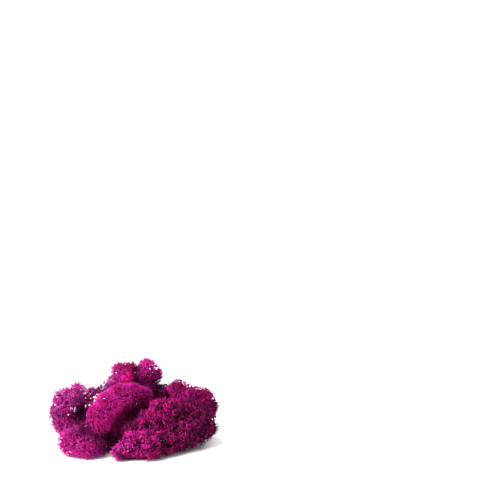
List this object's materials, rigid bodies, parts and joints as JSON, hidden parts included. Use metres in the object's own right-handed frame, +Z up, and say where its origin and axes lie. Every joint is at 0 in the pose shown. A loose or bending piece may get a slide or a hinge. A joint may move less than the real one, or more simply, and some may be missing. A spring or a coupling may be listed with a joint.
{
  "type": "reindeer moss clump",
  "caption": "Loose clump of dyed reindeer lichen: rounded bushy heads of fine forked twigs that lie together on a flat surface as natural filler.",
  "frame": {"origin": "middle of the clump's bounding box, on the table it lies on", "axes": "+X to the clump's right as pictured, +Y away from the viewer, +Z up"},
  "size_m": [0.1236, 0.0946, 0.0542],
  "materials": {
    "lichen_magenta": "matte dyed lichen twigs",
    "lichen_violet": "matte dyed lichen twigs",
    "lichen_crimson": "matte dyed lichen twigs"
  },
  "bodies": {
    "root": {"left_head": "lichen_violet", "front_left_head": "lichen_magenta", "ridge_head": "lichen_magenta", "top_left_head": "lichen_crimson", "top_right_head": "lichen_violet", "right_head": "lichen_magenta", "front_right_head": "lichen_crimson", "back_head": "lichen_crimson"}
  },
  "joints": []
}
